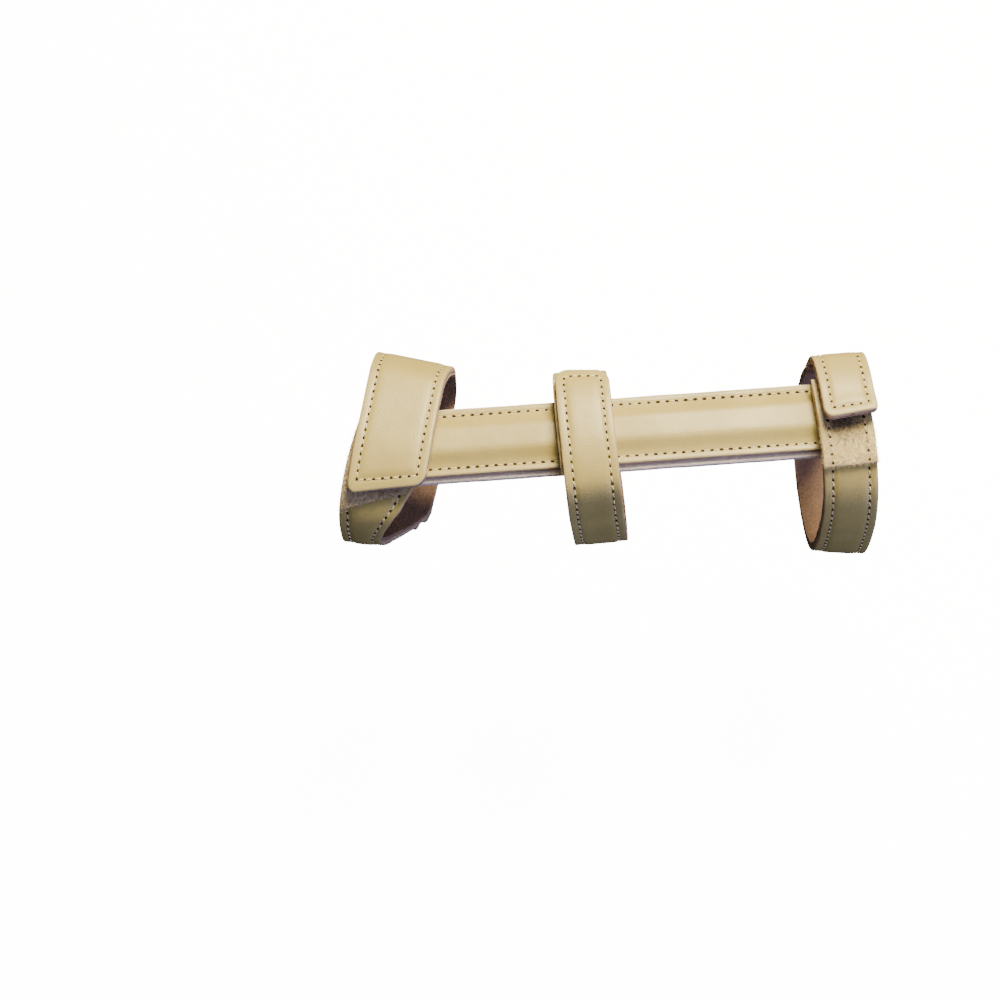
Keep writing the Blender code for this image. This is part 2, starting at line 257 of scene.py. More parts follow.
# Colours, as light that comes back off the material
LEATHER = (0.58, 0.46, 0.155)
LEATHER_DEEP = (0.50, 0.39, 0.120)
LEATHER_WORN = (0.64, 0.51, 0.26)
LEATHER_EDGE = (0.55, 0.40, 0.27)
SUEDE = (0.40, 0.235, 0.150)
SUEDE_DEEP = (0.24, 0.15, 0.09)
FELT = (1.0, 0.84, 0.70)
FELT_DEEP = (0.88, 0.72, 0.58)
HOOKS = (1.0, 0.83, 0.44)
HOOKS_DEEP = (0.80, 0.62, 0.29)
# painted shadow on the forearm patch, under its tab's lifted end
HOOKS_PAINTED_SHADOW = (0.14, 0.09, 0.05)
# the cuff's hook patch: the same fabric made darker, painted shade for where it lies under the cuff's tab
HOOKS_PAINTED_SHADE = (0.62, 0.48, 0.29)
HOOKS_PAINTED_SHADE_DEEP = (0.34, 0.25, 0.14)
TAB_HOOKS = (0.40, 0.25, 0.15)
TAB_HOOKS_DEEP = (0.26, 0.15, 0.08)
THREAD = (1.0, 0.86, 0.54)
THREAD_DEEP = (0.52, 0.40, 0.21)
# painted shade: dark discs stand in for the depth of the stitch holes, which the leather doesn't have
HOLE_PAINTED_SHADE = (0.055, 0.033, 0.012)
HOLE_PAINTED_SHADE_PALE = (0.05, 0.032, 0.015)


def smooth(share):
    share = min(max(share, 0.0), 1.0)
    return share * share * (3 - 2 * share)


def rounded_half(half, corner, distance):
    inside = max(corner - distance, 0.0)
    return half - corner + math.sqrt(max(corner * corner - inside * inside, 0.0))


def cover_raise(from_edge, from_end):
    across = smooth((from_edge - COVER_MARGIN) / PANEL_SLOPE)
    along = smooth((from_end - COVER_MARGIN) / COVER_END_SLOPE)
    return COVER_RAISE * across * along


def cover_corners():
    edge, foot = STAY_WIDTH / 2, STAY_WIDTH / 2 - COVER_MARGIN - COVER_SLOPE
    margin_z = COVER_Z + COVER_THICK + STAY_CLEARANCE
    corners = []
    for side in (-1, 1):
        corners += [(side * edge, margin_z), (side * foot, margin_z + COVER_RAISE)]
    return corners


CORNERS = cover_corners()


def loop_at(strap, x):
    """Half width, half height and centre (y, z) of the strap's loop at this place along the arm."""
    along = x - strap.x
    room = strap.room + strap.flare_room * along
    depth = strap.depth + strap.flare_depth * along
    shift = strap.shift + strap.flare_shift * along
    top = 0.0
    for y, z in CORNERS:
        level = (1 - (abs(y - shift) / room) ** strap.square) ** (1 / strap.square)
        top = max(top, (2 * z + depth * (1 - level)) / (1 + level))
    height = (top + depth) / 2
    return room, height, shift, top - height


def on_loop(strap, angle, x):
    """The point at this angle on the inside of the loop, and the way out of it there."""
    side, height, centre_y, centre_z = loop_at(strap, x)
    c, s = math.cos(math.radians(angle)), math.sin(math.radians(angle))
    n = strap.square
    radius = ((abs(c) / side) ** n + (abs(s) / height) ** n) ** (-1 / n)
    out = Vector(
        (
            0,
            math.copysign((abs(c) * radius / side) ** (n - 1) / side, c),
            math.copysign((abs(s) * radius / height) ** (n - 1) / height, s),
        )
    ).normalized()
    return Vector((x, centre_y + radius * c, centre_z + radius * s)), out


def middle_line(strap, angle):
    place, _ = on_loop(strap, angle, strap.x)
    _, _, centre_y, centre_z = loop_at(strap, strap.x)
    along = strap.slant * (place.y - centre_y) + strap.lean * (place.z - centre_z)
    progress = (angle - strap.start) / (strap.tab - strap.start)
    return on_loop(strap, angle, strap.x + along + strap.drift * (progress - 0.5))[0]


@lru_cache(maxsize=None)
def across_line(strap, angle):
    """The middle line's point, the direction across the strap there, and its length for each degree."""
    step = 0.5
    before, after = middle_line(strap, angle - step), middle_line(strap, angle + step)
    point = middle_line(strap, angle)
    _, out = on_loop(strap, angle, point.x)
    across = (after - before).cross(out).normalized()
    if across.x < 0:
        across.negate()
    return point, across, (after - before).length / (2 * step)


def lay(strap, angle, by):
    """The loop's surface at this angle and this far across from the strap's middle line, and the way out."""
    point, across, _ = across_line(strap, angle)
    moved = point + across * by
    _, _, centre_y, centre_z = loop_at(strap, moved.x)
    turned = math.degrees(math.atan2(moved.z - centre_z, moved.y - centre_y))
    return on_loop(strap, turned, moved.x)


def layer_offset(strap, angle):
    """Height of the strap's inside above its loop: it climbs over its own start and curls up at its tab."""
    past = strap.turn * (angle - strap.start) - 360
    climb = smooth((past + RISE_BEFORE + RISE_SPAN) / RISE_SPAN)
    left = strap.turn * (strap.tab - angle)
    lift = PATCH_TOP + GAP + strap.hooks * (HOOK_THICK + GAP)
    return lift * climb + strap.curl * smooth(1 - left / CURL_SPAN)


def waist_share(angle):
    if angle <= THUMB_WAIST[0].angle or angle >= THUMB_WAIST[-1].angle:
        return 1.0
    for first, second in zip(THUMB_WAIST, THUMB_WAIST[1:]):
        if angle <= second.angle:
            share = (angle - first.angle) / (second.angle - first.angle)
            return first.share + (second.share - first.share) * share
    return 1.0


# A run of one strap between two angles. corners: radius at its start and end, cuts: slope of both ends in
# degrees, inset: how far its edges lie inside the strap's
Run = namedtuple("Run", "strap start end corners cuts inset")
# Shares of a corner's radius on the hand's side and on the elbow's side
CORNER_SHARES = {HAND: (0.6, 0.75), WRIST: (1.0, 1.0), FOREARM: (1.0, 0.45)}
# A section of a run. near and far: its edges' distances from the middle line, on the hand's and the elbow's side,
# near_round and far_round: what the round corners take off them, cut: degrees that it turns for each metre
# across, ends: distances to the run's two ends
Row = namedtuple("Row", "angle near far near_round far_round cut ends")


def whole(strap):
    return Run(strap, strap.start, strap.tab, (0.0, strap.corner), (0.0, strap.cut), 0.0)


def row_at(run, angle):
    half = run.strap.width / 2 - run.inset
    waist, trim = 1.0, 0.0
    if run.strap is HAND:
        waist = waist_share(angle)
        trim = HAND_TRIM * (1 - smooth((angle - HAND_TRIM_FROM) / HAND_TRIM_SPAN))
    degree = across_line(run.strap, angle)[2]
    rounding, slant, ends = [0.0, 0.0], 0.0, []
    for edge, corner, cut in zip((run.start, run.end), run.corners, run.cuts):
        distance = abs(angle - edge) * degree
        ends.append(distance)
        if corner:
            for k, share in enumerate(CORNER_SHARES[run.strap]):
                rounding[k] = max(rounding[k], half - rounded_half(half, corner * share, distance))
        slant += math.tan(math.radians(cut)) * (1 - smooth(distance / (0.6 * run.strap.width))) / degree
    return Row(angle, half - trim, half * waist, *rounding, slant, ends)


def rows_of(run):
    turn = 1 if run.end > run.start else -1
    taken = []
    for edge, inward in ((run.start, turn), (run.end, -turn)):
        degree = across_line(run.strap, edge)[2]
        taken += [edge + inward * distance * MM / degree for distance in END_ROWS]
    low, high = min(run.start, run.end), max(run.start, run.end)
    steps = range(math.ceil(low / ROW_STEP), math.floor(high / ROW_STEP) + 1)
    angles = taken + [k * ROW_STEP for k in steps if all(abs(k * ROW_STEP - other) > 0.6 for other in taken)]
    return [row_at(run, angle) for angle in sorted(angles, reverse=turn < 0)]


def in_from_edge(run, row, by):
    """Distance of a point in from the run's nearest edge, round corners included."""
    nearest = 1.0
    for along, corner in zip(row.ends, run.corners):
        for beside, share in zip((row.near + by, row.far - by), CORNER_SHARES[run.strap]):
            radius = corner * share
            if along < radius and beside < radius:
                distance = radius - math.hypot(radius - along, radius - beside)
            else:
                distance = min(along, beside)
            nearest = min(nearest, distance)
    return max(nearest, 0.0)


def edge_drop(distance, radius):
    inside = max(radius - distance, 0.0)
    return radius - math.sqrt(max(radius * radius - inside * inside, 0.0))


def pressed(distance, margin):
    """Depth of the line that the stitches pull into the leather."""
    return PRESS_DEPTH * math.exp(-(((distance - margin) / PRESS_WIDTH) ** 2))


def ripple(place, size, seed):
    """Smooth unevenness from -1 to 1 with bumps of this size."""
    return noise.noise(place / size + Vector((seed, 2.7 * seed, 0.3)))


def link(name, mesh, material):
    mesh.materials.append(material)
    piece = bpy.data.objects.new(name, mesh)
    bpy.context.scene.collection.objects.link(piece)
    return piece


def shell(name, over, under, edges, material):
    """A closed shell between two grids of points. edges: distances in from the edge, for the material."""
    rows, columns = len(over), len(over[0])
    count = rows * columns
    faces = []
    for i in range(rows - 1):
        for j in range(columns - 1):
            a, b = i * columns + j, (i + 1) * columns + j
            faces.append((a, b, b + 1, a + 1))
            faces.append((count + a, count + a + 1, count + b + 1, count + b))
        for j in (0, columns - 1):
            a, b = i * columns + j, (i + 1) * columns + j
            side = (a, count + a, count + b, b)
            faces.append(side if j == 0 else (a, b, count + b, count + a))
    for j in range(columns - 1):
        for i in (0, rows - 1):
            a = i * columns + j
            end = (a, a + 1, count + a + 1, count + a)
            faces.append(end if i == 0 else (a, count + a, count + a + 1, a + 1))
    mesh = bpy.data.meshes.new(name)
    mesh.from_pydata([p for row in over for p in row] + [p for row in under for p in row], [], faces)
    edge = mesh.attributes.new("edge_mm", "FLOAT", "POINT")
    flat = [value / MM for row in edges for value in row]
    edge.data.foreach_set("value", flat + flat)
    outer = mesh.attributes.new("outer", "FLOAT", "POINT")
    outer.data.foreach_set("value", [1.0] * count + [0.0] * count)
    work = bmesh.new()
    work.from_mesh(mesh)
    bmesh.ops.recalc_face_normals(work, faces=work.faces)
    if work.calc_volume(signed=True) < 0:
        bmesh.ops.reverse_faces(work, faces=work.faces)
    work.to_mesh(mesh)
    work.free()
    mesh.shade_smooth()
    return link(name, mesh, material)


def strap_shell(name, run, margins, over, under, material, wobble=WOBBLE, seed=0.0, **fields):
    """A layer of a strap. over and under give its heights for a distance to the edge, a row and a margin."""
    values = {key: [] for key in fields}
    tops, bottoms, edges = [], [], []
    for row in rows_of(run):
        width = row.near + row.far - row.near_round - row.far_round
        squeeze = min(1.0, width / (2.2 * margins[-1] * MM))
        spots = [(margin * MM, margin * MM * squeeze - row.near + row.near_round) for margin in margins]
        spots.append((1.0, (row.far - row.near) / 2))
        far = row.far - row.far_round
        spots += [(margin * MM, far - margin * MM * squeeze) for margin in reversed(margins)]
        lift = layer_offset(run.strap, row.angle)
        lines = [[], [], []]
        for margin, by in spots:
            distance = in_from_edge(run, row, by)
            shift = wobble * ripple(Vector((row.angle * 0.45, by / MM * 0.5, 0)), 7.0, seed)
            shift *= 1 - smooth(distance / EDGE_REACH)
            base, out = lay(run.strap, row.angle + row.cut * by, by + shift)
            sway = SWAY * ripple(base, SWAY_SIZE, run.strap.square)
            lines[0].append(base + out * (lift + sway + over(distance, row, margin)))
            lines[1].append(base + out * (lift + sway + under(distance, row, margin)))
            lines[2].append(distance)
            for key, field in fields.items():
                values[key].append(field(row, by))
        tops.append(lines[0])
        bottoms.append(lines[1])
        edges.append(lines[2])
    piece = shell(name, tops, bottoms, edges, material)
    for key, column in values.items():
        piece.data.attributes.new(key, "FLOAT", "POINT").data.foreach_set("value", column + column)
    return piece


def crown(distance):
    return LEATHER_CROWN * smooth((distance - STITCH_MARGIN) / (CROWN_MARGIN - STITCH_MARGIN))


def under_round(distance, radius=UNDER_ROUND):
    return edge_drop(distance, radius) * 0.8


def leather_strap(name, strap, material):
    return strap_shell(
        name,
        whole(strap),
        LEATHER_MARGINS,
        lambda d, row, m: LEATHER_TOP + crown(d) - pressed(d, STITCH_MARGIN) - edge_drop(d, EDGE_ROUND),
        lambda d, row, m: LEATHER_FLOOR + under_round(d),
        material,
        seed=1.3,
    )


def seat(margin):
    """Height of the leather that a patch or the pocket is sewn on."""
    return LEATHER_TOP + crown(margin) + SEWN


def soft_layer(name, run, floor, top, material, seed, **fields):
    """A lining or hook patch between two heights. With no floor it lies on the leather."""
    return strap_shell(
        name,
        run,
        SOFT_MARGINS,
        lambda d, row, m: top - edge_drop(d, SOFT_ROUND),
        lambda d, row, m: (seat(m) if floor is None else floor) + under_round(d, SOFT_UNDER_ROUND),
        material,
        wobble=0.8 * WOBBLE,
        seed=seed,
        **fields,
    )


def pocket_bulge(row, margin):
    """How far the pocket stands off the leather here."""
    across = smooth((margin - POCKET_FLANGE) / POCKET_SLOPE)
    along = smooth((POCKET_END - row.angle) / POCKET_CLOSE - 0.3)
    return POCKET_ROOM * across * along


def stay_shell(name, half_width, proud, margins, over, under, material, wobble):
    """A flat layer of the stay with round corners, from its distance to the nearest edge."""
    near = [distance * MM for distance in STAY_ENDS]
    plain = STAY_LENGTH - 2 * near[-1]
    middle = [near[-1] + plain * k / STAY_STEPS for k in range(1, STAY_STEPS)]
    tops, bottoms, edges = [], [], []
    for row in near + middle + [STAY_LENGTH - distance for distance in reversed(near)]:
        from_end = min(row, STAY_LENGTH - row)
        now = rounded_half(half_width, STAY_CORNER, from_end)
        spots = [margin * MM * now / half_width - now for margin in margins]
        spots = spots + [0.0] + [-by for by in reversed(spots)]
        lines = [[], [], []]
        for by in spots:
            from_side = half_width - abs(by)
            if from_end < STAY_CORNER and from_side < STAY_CORNER:
                distance = STAY_CORNER - math.hypot(STAY_CORNER - from_end, STAY_CORNER - from_side)
            else:
                distance = min(from_end, from_side)
            distance = max(distance, 0.0)
            place = Vector((STAY_HAND_X + row, by, 0.0))
            place.y += wobble * ripple(place, 0.011, half_width * 900) * (1 - smooth(distance / EDGE_REACH))
            wave = SWAY * ripple(place, 0.017, 4.0) * (1 - smooth((distance - 2 * MM) / (3 * MM)))
            lines[0].append(place + Vector((0, 0, over(distance, from_side, from_end) + wave * proud)))
            lines[1].append(place + Vector((0, 0, under(distance) + wave * proud)))
            lines[2].append(distance)
        tops.append(lines[0])
        bottoms.append(lines[1])
        edges.append(lines[2])
    return shell(name, tops, bottoms, edges, material)


# Materials


class Wire:
    """A value in a node tree that takes part in sums."""

    def __init__(self, nodes, socket):
        self.nodes, self.socket = nodes, socket

    def math(self, operation, first, second):
        return self.nodes.add("ShaderNodeMath", {"operation": operation}, {0: first, 1: second})

    def __add__(self, other):
        return self.math("ADD", self, other)

    def __radd__(self, other):
        return self.math("ADD", other, self)

    def __sub__(self, other):
        return self.math("SUBTRACT", self, other)

    def __rsub__(self, other):
        return self.math("SUBTRACT", other, self)

    def __mul__(self, other):
        return self.math("MULTIPLY", self, other)

    def __rmul__(self, other):
        return self.math("MULTIPLY", other, self)

    def __truediv__(self, other):
        return self.math("DIVIDE", self, other)

    def __rtruediv__(self, other):
        return self.math("DIVIDE", other, self)


class Nodes:
    """A node tree, with one method for any node: its kind, its settings, then its inputs."""

    def __init__(self, tree):
        self.tree = tree

    def add(self, kind, settings=None, inputs=None, out=0):
        node = self.tree.nodes.new(kind)
        for key, value in (settings or {}).items():
            setattr(node, key, value)
        for key, value in (inputs or {}).items():
            if isinstance(value, Wire):
                self.tree.links.new(value.socket, node.inputs[key])
            else:
                node.inputs[key].default_value = value
        return Wire(self, node.outputs[out]) if node.outputs else node

    def noise(self, size, detail=2.0, seed=0.0):
        """Uneven values from 0 to 1 with patches of this size in metres."""
        where = self.add("ShaderNodeTexCoord", out="Object")
        where = self.add("ShaderNodeVectorMath", {"operation": "ADD"}, {0: where, 1: (seed, seed, seed)})
        return self.add("ShaderNodeTexNoise", {}, {"Vector": where, "Scale": 1 / size, "Detail": detail})

    def cells(self, size, feature="F1"):
        where = self.add("ShaderNodeTexCoord", out="Object")
        return self.add("ShaderNodeTexVoronoi", {"feature": feature}, {"Vector": where, "Scale": 1 / size})

    def ramp(self, value, low, high, start=0.0, end=1.0):
        settings = {"interpolation_type": "SMOOTHSTEP"}
        inputs = {"Value": value, "From Min": low, "From Max": high, "To Min": start, "To Max": end}
        return self.add("ShaderNodeMapRange", settings, inputs)

    def attribute(self, name):
        return self.add("ShaderNodeAttribute", {"attribute_name": name}, out="Fac")

    def blend(self, factor, first, second):
        """A colour between two others."""
        first, second = (c if isinstance(c, Wire) else (*c, 1.0) for c in (first, second))
        return self.add("ShaderNodeMix", {"data_type": "RGBA"}, {0: factor, 6: first, 7: second}, out=2)

    def bump(self, height, depth, strength=1.0, under=None):
        inputs = {"Strength": strength, "Distance": depth, "Height": height}
        if under is not None:
            inputs["Normal"] = under
        return self.add("ShaderNodeBump", {}, inputs)


def material_of(name, paint, **constants):
    """A material whose Principled inputs come from paint(nodes), with the constants set on its sockets."""
    material = bpy.data.materials.new(name)
    material.use_nodes = True
    shader = material.node_tree.nodes["Principled BSDF"]
    for key, value in constants.items():
        shader.inputs[key.replace("_", " ")].default_value = value
    for key, value in paint(Nodes(material.node_tree)).items():
        material.node_tree.links.new(value.socket, shader.inputs[key])
    return material


def paint_leather(nodes):
    cloud = nodes.noise(0.022, 3.0)
    speck = nodes.noise(0.0016, 2.0, 3.0)
    edge = nodes.attribute("edge_mm")
    base = nodes.blend(nodes.ramp(cloud, 0.35, 0.7), LEATHER, LEATHER_DEEP)
    base = nodes.blend(nodes.ramp(speck, 0.45, 0.75) * 0.18, base, LEATHER_DEEP)
    worn = nodes.ramp(edge, 0.25, 1.6, 1.0, 0.0) * 0.45
    base = nodes.blend(worn, base, LEATHER_WORN)
    raw = nodes.ramp(edge, 0.03, 0.22, 1.0, 0.0)
    base = nodes.blend(raw, base, LEATHER_EDGE)
    pores = nodes.cells(0.0008)
    creases = nodes.noise(0.0045, 4.0, 1.0)
    normal = nodes.bump(creases, 0.00035, 0.35)
    normal = nodes.bump(pores, 0.00005, 0.6, normal)
    rough = nodes.ramp(cloud, 0.3, 0.7, 0.36, 0.45) + raw * 0.4
    return {"Base Color": base, "Roughness": rough, "Normal": normal}


def paint_soft(colour, deep, fibre, depth, painted_shadow=None):
    """A matte, fibrous surface."""

    def paint(nodes):
        cloud = nodes.noise(0.009, 3.0)
        fine = nodes.noise(fibre, 3.0, 2.0)
        base = nodes.blend(nodes.ramp(cloud, 0.3, 0.75) * 0.5, colour, deep)
        base = nodes.blend(nodes.ramp(fine, 0.4, 0.7) * 0.6, base, deep)
        # painted shadow on the forearm patch, under its tab's lifted end
        if painted_shadow:
            base = nodes.blend(nodes.attribute("tone") * (0.6 + fine * 0.7), base, painted_shadow)
        return {"Base Color": base, "Normal": nodes.bump(fine, depth, 0.9), "Roughness": 0.85 + fine * 0.1}

    return paint


def paint_thread(nodes):
    strand = nodes.noise(0.0004, 1.0)
    base = nodes.blend(nodes.ramp(strand, 0.35, 0.7), THREAD, THREAD_DEEP)
    return {"Base Color": base, "Normal": nodes.bump(strand, 0.0001, 0.8)}


def paint_plain(colour, deep):
    def paint(nodes):
        return {"Base Color": nodes.blend(nodes.noise(0.003, 2.0), colour, deep)}

    return paint


leather = material_of("tan_leather", paint_leather, IOR=1.48, Coat_Weight=0.10, Coat_Roughness=0.42)
suede = material_of("suede_lining", paint_soft(SUEDE, SUEDE_DEEP, 0.0007, 0.00025), Sheen_Weight=0.25)
felt = material_of("white_felt", paint_soft(FELT, FELT_DEEP, 0.0008, 0.0003), Sheen_Weight=0.3)
hooks = material_of(
    "hook_fabric", paint_soft(HOOKS, HOOKS_DEEP, 0.0010, 0.0006, HOOKS_PAINTED_SHADOW), Sheen_Weight=0.2
)
# darker copy of the hook fabric: painted shade for the cuff's patch under its tab
hooks_painted_shade = material_of("brown_hook_fabric", paint_soft(HOOKS_PAINTED_SHADE, HOOKS_PAINTED_SHADE_DEEP, 0.0010, 0.0006))
tab_hooks = material_of("tab_hook_fabric", paint_soft(TAB_HOOKS, TAB_HOOKS_DEEP, 0.0006, 0.0004))
thread = material_of("thread", paint_thread, Roughness=0.6)
# painted shade of the stitch holes' depth
hole = material_of("stitch_hole", paint_plain(HOLE_PAINTED_SHADE, HOLE_PAINTED_SHADE_PALE), Roughness=0.9, Specular_IOR_Level=0.1)

# Leather, linings and hook patches


def patch_run(strap, end, cut=0.0):
    return Run(strap, strap.start, end, (0.0, 0.0), (0.0, cut), 0.0)


def tab_hook_run(strap):
    """The hooks under a tab's end, a little in from its edges."""
    degree = across_line(strap, strap.tab)[2]
    end = strap.tab - TAB_HOOK_INSET / degree
    start = end - TAB_HOOK_LENGTH / degree
    return Run(strap, start, end, (0.0, strap.corner - TAB_HOOK_INSET), (0.0, strap.cut), TAB_HOOK_INSET)


def past_tab(strap, row):
    """How far a section of a strap's start lies past the end of the tab over it."""
    return (row.angle - strap.tab + 360) * across_line(strap, row.angle)[2]


def cuff_bare(row, by):
    """1 where the cuff's patch isn't under its tab."""
    past = past_tab(HAND, row) - by * math.tan(math.radians(HAND.cut))
    return float(past > 0.8 * MM or by < -HAND.width / 2 + 2.2 * MM)


def forearm_bare(row, by):
    """1 where the forearm's patch isn't under its tab."""
    return float(past_tab(FOREARM, row) > 0.6 * MM)


def tab_end_painted_shadow(row, by):
    """Where a shadow is painted on the forearm's patch, darkest by the tab's end that lifts over it."""
    along = 1 - smooth(past_tab(FOREARM, row) / PAINTED_SHADOW_LENGTH)
    return along * (1 - 0.75 * smooth((abs(by + 1.0 * MM) - 3 * MM) / (6 * MM)))


CUFF_PATCH = patch_run(HAND, HAND_PATCH_END, HAND_PATCH_CUT)
WRIST_PATCH = patch_run(WRIST, WRIST_PATCH_END)
FOREARM_PATCH = patch_run(FOREARM, FOREARM_PATCH_END)
POCKET = Run(HAND, POCKET_MOUTH, POCKET_END, (0.0, POCKET_CORNER), (0.0, 0.0), 0.0)

cover = stay_shell(
    "cover_leather",
    STAY_WIDTH / 2,
    1.0,
    COVER_MARGINS,
    lambda d, side, end: COVER_Z
    + COVER_THICK
    + cover_raise(side, end)
    - pressed(d, COVER_STITCH_MARGIN)
    - edge_drop(d, EDGE_ROUND),
    lambda d: COVER_Z + under_round(d),
    leather,
    WOBBLE,
)
stay_felt = stay_shell(
    "stay_felt",
    STAY_WIDTH / 2 + FELT_PROUD,
    0.0,
    FELT_MARGINS,
    lambda d, side, end: FOREARM_BACK_Z + FELT_THICK - edge_drop(d, FELT_ROUND),
    lambda d: FOREARM_BACK_Z + under_round(d, FELT_ROUND),
    felt,
    1.4 * WOBBLE,
)
cuff_leather = leather_strap("cuff_leather", HAND, leather)
wrist_leather = leather_strap("wrist_leather", WRIST, leather)
forearm_leather = leather_strap("forearm_leather", FOREARM, leather)
cuff_suede = soft_layer("cuff_suede", whole(HAND), 0.0, LINING_THICK, suede, 5.1)
wrist_suede = soft_layer("wrist_suede", whole(WRIST), 0.0, LINING_THICK, suede, 6.2)
forearm_suede = soft_layer("forearm_suede", whole(FOREARM), 0.0, LINING_THICK, suede, 7.3)
cuff_hooks = soft_layer("cuff_hooks", CUFF_PATCH, None, PATCH_TOP, hooks_painted_shade, 8.4, bare=cuff_bare)
wrist_hooks = soft_layer("wrist_hooks", WRIST_PATCH, None, PATCH_TOP, hooks, 9.5)
# the forearm patch gets a painted shadow by its tab's end
forearm_hooks = soft_layer(
    "forearm_hooks", FOREARM_PATCH, None, PATCH_TOP, hooks, 10.6, tone=tab_end_painted_shadow, bare=forearm_bare
)
forearm_tab_hooks = soft_layer(
    "forearm_tab_hooks", tab_hook_run(FOREARM), -GAP - HOOK_THICK, -SEWN, tab_hooks, 11.7
)
pocket_leather = strap_shell(
    "pocket_leather",
    POCKET,
    POCKET_MARGINS,
    lambda d, row, m: seat(m)
    + pocket_bulge(row, m)
    + POCKET_WALL
    - pressed(d, POCKET_STITCH_MARGIN)
    - edge_drop(d, EDGE_ROUND),
    lambda d, row, m: seat(m) + pocket_bulge(row, m) + under_round(d),
    leather,
    seed=2.9,
)

# Stitches and fuzz


def evenly(points, spacing):
    """Places along a line of (point, out) pairs, as near to this spacing as fits: (point, along, out)."""
    lengths = [0.0]
    for (first, _), (second, _) in zip(points, points[1:]):
        lengths.append(lengths[-1] + (second - first).length)
    count = max(2, round(lengths[-1] / spacing) * 2)
    places, k = [], 0
    for step in range(count + 1):
        target = lengths[-1] * step / count
        while k < len(points) - 2 and lengths[k + 1] < target:
            k += 1
        share = (target - lengths[k]) / max(lengths[k + 1] - lengths[k], 1e-9)
        first, second = points[k], points[k + 1]
        along = (second[0] - first[0]).normalized()
        out = first[1].lerp(second[1], share).normalized()
        places.append((first[0].lerp(second[0], share), along, out))
    return places


def strap_line(run, spots, height):
    """Points over a strap's layer for (angle, by) spots."""
    points = []
    for angle, by in spots:
        row = row_at(run, angle)
        base, out = lay(run.strap, angle + row.cut * by, by)
        sway = SWAY * ripple(base, SWAY_SIZE, run.strap.square)
        points.append((base + out * (layer_offset(run.strap, angle) + sway + height), out))
    return points


def seam_round(run, first, margin, height, closed_end=True, skew=0.0):
    """A seam up one edge, across the run's end and back down the other edge."""
    strap = run.strap
    half = strap.width / 2 - run.inset
    degree = across_line(strap, run.end)[2]
    turn = 1 if run.end > run.start else -1
    sides = []
    for side, share in zip((-1, 1), CORNER_SHARES[strap]):
        inner = max(run.corners[1] * share - margin, 0.4 * MM)
        last = run.end - turn * (margin + inner) / degree
        steps = max(2, int(abs(last - first)))
        spots = []
        start = first + skew * side * (half - margin)
        for k in range(steps + 1):
            angle = start + (last - start) * k / steps
            far = waist_share(angle) if strap is HAND and side > 0 else 1.0
            spots.append((angle, side * (half * far - margin)))
        if closed_end:
            for k in range(1, 7):
                turned = math.pi / 2 * k / 6
                along = last + turn * inner * math.sin(turned) / degree
                spots.append((along, side * (half - margin - inner * (1 - math.cos(turned)))))
        sides.append(spots)
    if closed_end:
        return [strap_line(run, sides[0] + sides[1][::-1], height)]
    return [strap_line(run, spots, height) for spots in sides]


def cover_seam():
    """The seam round the stay's cover."""
    margin = COVER_STITCH_MARGIN
    half, length = STAY_WIDTH / 2 - margin, STAY_LENGTH - 2 * margin
    corner = STAY_CORNER - margin
    up = Vector((0, 0, 1))
    z = COVER_Z + COVER_THICK - PRESS_DEPTH
    outline = []
    for quarter, (x, y) in enumerate(((1, 1), (0, 1), (0, 0), (1, 0))):
        along = length - corner if x else corner
        centre = Vector((STAY_HAND_X + margin + along, half - corner if y else corner - half, z))
        for k in range(7):
            turned = math.pi / 2 * (quarter + k / 6)
            outline.append((centre + corner * Vector((math.cos(turned), math.sin(turned), 0)), up))
    outline.append(outline[0])
    return [outline]


def geometry_tree(name, inputs):
    tree = bpy.data.node_groups.new(name, "GeometryNodeTree")
    tree.interface.new_socket("Geometry", in_out="INPUT", socket_type="NodeSocketGeometry")
    for label, kind in inputs.items():
        tree.interface.new_socket(label, in_out="INPUT", socket_type="NodeSocket" + kind)
    tree.interface.new_socket("Geometry", in_out="OUTPUT", socket_type="NodeSocketGeometry")
    nodes = Nodes(tree)
    group = tree.nodes.new("NodeGroupInput")
    given = {socket.name: Wire(nodes, socket) for socket in group.outputs if socket.name}
    return tree, nodes, given


